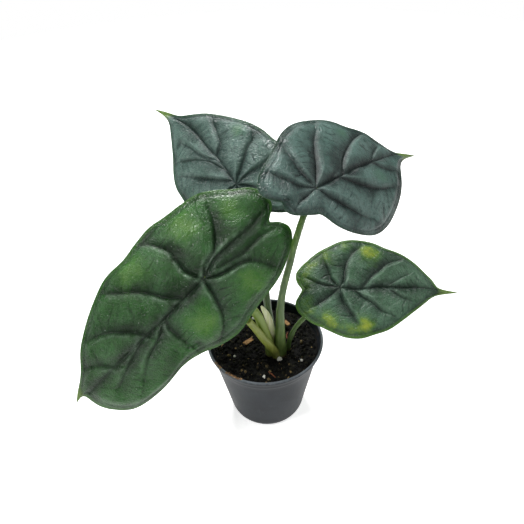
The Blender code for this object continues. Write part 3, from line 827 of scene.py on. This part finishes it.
def potInner():
    top, rim, band, base = pot["height"], pot["rim"], pot["height"] - pot["band"], pot["base"]
    wall = pot["wall"]
    return [(base - 3.0, wall), (base - 1.2, 1.6), (28.0, 3.0), (28.4, 4.2), (29.1, 6.8),
            (wallRadius(25.0) - wall, 25.0), (wallRadius(45.0) - wall, 45.0), (40.0, band - 1.0),
            (rim - 4.0, band + 1.5), (rim - 2.9, top - 5.0), (rim - 2.3, top - 3.0), (rim - 1.95, top - 1.2),
            (rim - 1.7, top - 0.35)]


def potFinish():
    f = Finish("potPlastic")
    height = f.add("ShaderNodeSeparateXYZ", {}, {"Vector": f.place}, "Z")
    cloud = f.noise(38.0, 4.0, 0.6)
    grain = f.noise(1500.0, 3.0, 0.6)
    scuff = f.noise(260.0, 3.0, 0.7, f.stretched((1.0, 1.0, 0.18)))
    body = f.mix(f.step(cloud, 0.3, 0.7), screenColour(28, 33, 37), screenColour(39, 44, 49))
    body = f.mix((f.step(scuff, 0.58, 0.76) * 0.22).held(), body, screenColour(70, 75, 79))
    # rim top lighter: partly wear, partly a painted highlight where the lip catches the light
    rimWearAndHighlight = f.step(height + (scuff - 0.5) * 0.002, 0.0712, 0.0732)
    body = f.mix(rimWearAndHighlight * 0.7, body, screenColour(128, 135, 141))
    dust = f.step(cloud + (scuff - 0.5) * 0.8, 0.58, 0.85) * f.step(height, 0.064, 0.072)
    body = f.mix((dust * 0.5).held(), body, screenColour(128, 104, 76))
    return f.feed(Base_Color=body, Roughness=(0.42 + grain * 0.14 + rimWearAndHighlight * 0.1).held(),
                  Specular_IOR_Level=0.15, Normal=f.bump(grain * 0.7 + scuff * 0.6, 0.3, 0.00012))


def makePot():
    outer = potOuter()
    middle, wall = pot["middle"], pot["wall"]
    profile = outer + [(middle, 0.0), (0.0, 0.0), (0.0, wall), (middle, wall)] + potInner()
    count = len(profile)
    # no edge runs up the axis
    skip = len(outer) + 1
    mesh = bpy.data.meshes.new("nurseryPot")
    edges = [(i, (i + 1) % count) for i in range(count) if i != skip]
    mesh.from_pydata([(r * mm, 0.0, z * mm) for r, z in profile], edges, [])
    piece = bpy.data.objects.new("nurseryPot", mesh)
    scene.collection.objects.link(piece)
    screw = piece.modifiers.new("turned", "SCREW")
    screw.steps = pot["turns"]
    screw.render_steps = pot["turns"]
    screw.use_merge_vertices = True
    screw.merge_threshold = pot["weld"]
    screw.use_normal_calculate = False
    applyAll(piece)
    ring, first, number, radius = pot["drains"]
    for hole in range(number):
        angle = math.radians(first + 360 / number * hole)
        bpy.ops.object.select_all(action="DESELECT")
        place = (ring * math.cos(angle) * mm, ring * math.sin(angle) * mm, 0)
        bpy.ops.mesh.primitive_cylinder_add(vertices=32, radius=radius * mm, depth=pot["drill"],
                                            location=place)
        drill = bpy.context.object
        cut = piece.modifiers.new("drain", "BOOLEAN")
        cut.operation = "DIFFERENCE"
        cut.solver = "EXACT"
        cut.object = drill
        applyAll(piece)
        bpy.data.objects.remove(drill, do_unlink=True)
    dress(piece, potFinish())
    pickOnly(piece)
    bpy.ops.object.shade_smooth_by_angle(angle=math.radians(pot["crease"]))
    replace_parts(piece, "nursery_pot")


makePot()
print("pot made")

# potting mix, crumbs and bits
mix = {
    "level": 66.0, "highest": 67.4, "radius": 41.0, "crown": (8.6, -10.6), "crownWide": 14.0,
    "turns": 180, "rings": 60, "rough": 0.55, "calmWide": 2.5, "floor": 1.95, "strewn": 40.6,
    "skirt": ((62.5, 39.6), (45.0, 36.0), (25.0, 32.2), (6.8, 28.7), (4.4, 28.1), (1.95, 26.4)),
}


def mixHeight(x, y):
    swell = 0.45 * np.sin(0.23 * x + 0.8) * np.cos(0.19 * y - 0.4)
    swell = swell + 0.30 * np.sin(0.41 * x - 0.29 * y) + 0.22 * np.cos(0.53 * y + 0.17 * x)
    away = np.hypot(x - mix["crown"][0], y - mix["crown"][1])
    return mix["level"] + swell * np.minimum(1.0, away / mix["crownWide"])


def mixFinish():
    f = Finish("mixEarth")
    tone = f.attribute("tone")
    cloud = f.noise(260.0, 4.0, 0.65)
    grain = f.noise(1300.0, 4.0, 0.7)
    body = f.mix(f.step(cloud, 0.35, 0.7), screenColour(2, 2, 1), screenColour(14, 14, 9))
    body = f.mix(f.step(tone, 0.6, 0.95) * 0.7, body, screenColour(44, 42, 26))
    body = f.mix(f.step(tone, 0.955, 0.99), body, screenColour(150, 128, 88))
    body = f.mix((f.step(grain, 0.5, 0.75) * 0.35).held(), body, screenColour(5, 5, 4))
    return f.feed(Base_Color=body, Roughness=(0.62 + grain * 0.3).held(), Specular_IOR_Level=0.25,
                  Normal=f.bump(grain + cloud * 0.5, 0.9, 0.0008))


earth = mixFinish()


def makeMix():
    turns = mix["turns"]
    rings = mix["rings"]
    angle = np.arange(turns) * math.tau / turns
    ring = np.linspace(0, mix["radius"], rings + 1)[1:]
    x = np.r_[0.0, np.outer(ring, np.cos(angle)).ravel()]
    y = np.r_[0.0, np.outer(ring, np.sin(angle)).ravel()]
    flat = np.c_[x, y, x * 0]
    calm = np.clip((mix["radius"] - np.hypot(x, y)) / mix["calmWide"], 0, 1)
    z = mixHeight(x, y) + calm * mix["rough"] * (0.7 * lumps(flat, 21, 6.0) + 0.5 * lumps(flat, 22, 2.6))
    z = np.minimum(z, mix["highest"])
    points = [np.c_[x, y, z]]
    for level, radius in mix["skirt"]:
        points.append(np.c_[radius * np.cos(angle), radius * np.sin(angle), angle * 0 + level])
    points.append(np.array([[0, 0, mix["floor"]]]))
    points = np.concatenate(points)
    faces = []
    total = rings + len(mix["skirt"])
    for i in range(turns):
        j = (i + 1) % turns
        faces.append((0, 1 + i, 1 + j))
        for k in range(total - 1):
            low = 1 + k * turns
            faces.append((low + i, low + turns + i, low + turns + j, low + j))
        low = 1 + (total - 1) * turns
        faces.append((low + i, len(points) - 1, low + j))
    piece = meshPiece("pottingMix", points * mm, faces, earth, {"tone": np.full(len(points), 0.3)})
    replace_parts(piece, "potting_mix")


makeMix()


# crumbs: number, sizes, seed, tones and stretch; dust: number, sizes, seed and where it lies
crumb = {
    "shapes": 6, "knocked": (0.6, 1.15), "favourSmall": 3.2, "sink": (-0.25, 0.55), "flat": (0.5, 0.9),
    "tilt": (-0.5, 0.5),
}
crumbHeaps = {
    "mixCrumbs": (4200, (0.40, 2.1), 41, (0.0, 1.0), (0.5, 1.0)),
    "mixSplinters": (260, (0.5, 1.5), 77, (0.2, 0.97), (0.18, 0.35)),
}
rimDust = {
    "rimDustFront": (120, (0.2, 0.85), 5, {
        "angle": (228, 246), "level": (72.8, 73.25), "radius": (43.1, 44.7)}),
    "rimDustLeft": (60, (0.2, 0.7), 6, {
        "angle": (210, 221), "level": (72.8, 73.25), "radius": (43.1, 44.6)}),
}


def crumbShape(seed):
    # one angular crumb of twenty faces, knocked out of round
    bpy.ops.object.select_all(action="DESELECT")
    bpy.ops.mesh.primitive_ico_sphere_add(subdivisions=1, radius=1.0)
    lump = bpy.context.object
    spots = np.array([v.co[:] for v in lump.data.vertices])
    faces = np.array([f.vertices[:] for f in lump.data.polygons])
    bpy.data.objects.remove(lump, do_unlink=True)
    draw = np.random.default_rng(seed)
    return spots * draw.uniform(*crumb["knocked"], (len(spots), 1)), faces


def scatter(name, count, sizes, seed, toneRange, stretch, material, zone=None):
    draw = np.random.default_rng(seed)
    shapes = [crumbShape(seed + i) for i in range(crumb["shapes"])]
    allPoints = []
    allFaces = []
    tones = []
    used = 0
    for number in range(count):
        shape, faces = shapes[number % len(shapes)]
        size = sizes[0] + (sizes[1] - sizes[0]) * draw.uniform() ** crumb["favourSmall"]
        if zone is None:
            away = (mix["strewn"] - size) * math.sqrt(draw.uniform())
            angle = draw.uniform(0, math.tau)
            x, y = away * math.cos(angle), away * math.sin(angle)
            z = float(mixHeight(x, y)) + size * draw.uniform(*crumb["sink"])
        else:
            angle = math.radians(draw.uniform(*zone["angle"]))
            level = draw.uniform(*zone["level"])
            away = draw.uniform(*zone["radius"])
            x, y, z = away * math.cos(angle), away * math.sin(angle), level
        grow = np.array([1.0, draw.uniform(*stretch), draw.uniform(*crumb["flat"])]) * size
        turn = np.array(Matrix.Rotation(draw.uniform(0, math.tau), 3, "Z")
                        @ Matrix.Rotation(draw.uniform(*crumb["tilt"]), 3, "X"))
        allPoints.append((shape * grow) @ turn.T + [x, y, z])
        allFaces.append(faces + used)
        tones.append(np.full(len(shape), draw.uniform(*toneRange)))
        used += len(shape)
    piece = meshPiece(name, np.concatenate(allPoints) * mm, np.concatenate(allFaces).tolist(), material,
                      {"tone": np.concatenate(tones)})
    piece.data.shade_flat()
    return piece


for name, (count, sizes, seed, tones, stretch) in crumbHeaps.items():
    scatter(name, count, sizes, seed, tones, stretch, earth)


def dustFinish():
    f = Finish("driedMix")
    tone = f.attribute("tone")
    grain = f.noise(1500.0, 4.0, 0.7)
    body = f.mix(tone, screenColour(112, 78, 46), screenColour(196, 158, 110))
    return f.feed(Base_Color=f.mix((grain * 0.5).held(), body, screenColour(88, 62, 40)),
                  Roughness=(0.7 + grain * 0.25).held(), Normal=f.bump(grain, 0.7, 0.0004))


dried = dustFinish()
for name, (count, sizes, seed, zone) in rimDust.items():
    scatter(name, count, sizes, seed, (0.0, 1.0), (0.4, 0.9), dried, zone)


knob = {"lump": 1.6, "pit": 0.6, "pitDepth": 0.6, "block": 1.7, "bevel": 0.1, "detail": 4, "taper": 0.28}


def knobbly(name, centre, sizes, turn, seed, material, node, rough=0.16, blocky=False):
    bpy.ops.object.select_all(action="DESELECT")
    if blocky:
        bpy.ops.mesh.primitive_cube_add(size=knob["block"])
    else:
        bpy.ops.mesh.primitive_ico_sphere_add(subdivisions=knob["detail"], radius=1.0)
    piece = bpy.context.object
    piece.name = name
    if blocky:
        soft = piece.modifiers.new("soft", "SUBSURF")
        soft.subdivision_type = "SIMPLE"
        soft.levels = knob["detail"]
        soft.render_levels = knob["detail"]
        edge = piece.modifiers.new("edge", "BEVEL")
        edge.width = knob["bevel"]
        applyAll(piece)
    spots = np.array([v.co[:] for v in piece.data.vertices])
    wide = rough * lumps(spots, seed, knob["lump"])
    small = rough * knob["pitDepth"] * lumps(spots, seed + 1, knob["pit"])
    spots *= (1 + wide + small)[:, None]
    if blocky:
        spots[:, 1] *= np.where(spots[:, 0] > 0, 1 - knob["taper"] * spots[:, 0], 1.0)
    spots *= np.array(sizes)
    angle = math.radians(turn)
    x = spots[:, 0] * math.cos(angle) - spots[:, 1] * math.sin(angle) + centre[0]
    y = spots[:, 0] * math.sin(angle) + spots[:, 1] * math.cos(angle) + centre[1]
    piece.data.vertices.foreach_set("co", (np.c_[x, y, spots[:, 2] + centre[2]] * mm).ravel())
    dress(piece, material)
    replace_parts(piece, node)


def perliteFinish():
    f = Finish("perliteGrain")
    pits = f.cells(1400.0)
    cloud = f.noise(600.0, 3.0, 0.6)
    body = f.mix(f.step(pits, 0.1, 0.5), screenColour(205, 200, 186), screenColour(240, 238, 230))
    body = f.mix((f.step(cloud, 0.55, 0.75) * 0.4).held(), body, screenColour(160, 148, 126))
    return f.feed(Base_Color=body, Roughness=(0.8 + cloud * 0.15).held(), Normal=f.bump(pits, 0.7, 0.0004))


def barkFinish():
    f = Finish("barkChip")
    streak = f.noise(900.0, 4.0, 0.65, f.stretched((0.25, 1.0, 1.0)))
    body = f.mix(f.step(streak, 0.3, 0.7), screenColour(116, 80, 44), screenColour(188, 146, 92))
    rough = (0.65 + streak * 0.25).held()
    return f.feed(Base_Color=body, Roughness=rough, Normal=f.bump(streak, 0.8, 0.0005))


perlite = perliteFinish()
bark = barkFinish()
# place, three half sizes and turn; the height comes from the solid
grains = {
    "perlite_a": (10.4, -17.4, 1.9, 1.7, 1.5, 20), "perlite_b": (-24.0, -12.0, 1.2, 1.0, 0.9, 50),
    "perlite_c": (27.0, -19.0, 1.1, 1.3, 0.9, 10), "perlite_d": (-2.0, -34.0, 1.5, 1.1, 0.9, 75),
    "perlite_e": (-9.0, 27.0, 1.2, 1.1, 0.9, 35),
}
chips = {
    "bark_a": (-13.0, 2.6, 4.6, 2.2, 0.8, 38), "bark_b": (18.0, 20.0, 3.4, 1.8, 0.8, 120),
    "bark_c": (-26.0, 10.0, 2.8, 1.6, 0.7, 80),
}
for number, (node, (x, y, rx, ry, rz, turn)) in enumerate(grains.items()):
    low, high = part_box(node)
    knobbly("grain" + node[-1].upper(), (x, y, (low.z + high.z) / 2 / mm), (rx, ry, rz), turn, 90 + number,
            perlite, node)
for number, (node, (x, y, rx, ry, rz, turn)) in enumerate(chips.items()):
    low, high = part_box(node)
    knobbly("chip" + node[-1].upper(), (x, y, (low.z + high.z) / 2 / mm), (rx, ry, rz), turn, 60 + number,
            bark, node, 0.10, True)


def fibreFinish():
    f = Finish("dryFibre")
    streak = f.noise(1200.0, 3.0, 0.6)
    body = f.mix(f.step(streak, 0.3, 0.7), screenColour(96, 48, 30), screenColour(150, 92, 60))
    return f.feed(Base_Color=body, Roughness=(0.6 + streak * 0.3).held(), Normal=f.bump(streak, 0.7, 0.0003))


def rhizomeFinish():
    f = Finish("rhizomeSkin")
    rings = f.noise(300.0, 4.0, 0.65, f.stretched((1.0, 1.0, 3.0)))
    body = f.mix(f.step(rings, 0.35, 0.7), screenColour(34, 27, 18), screenColour(84, 66, 42))
    return f.feed(Base_Color=body, Roughness=(0.7 + rings * 0.25).held(), Normal=f.bump(rings, 0.8, 0.0008))


dryFibre = fibreFinish()
rhizomeSkin = rhizomeFinish()
for node, material in (("fibre_a", dryFibre), ("fibre_b", dryFibre), ("rhizome", rhizomeSkin)):
    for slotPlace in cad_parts[node].material_slots:
        slotPlace.material = material
print("potting mix and bits made")
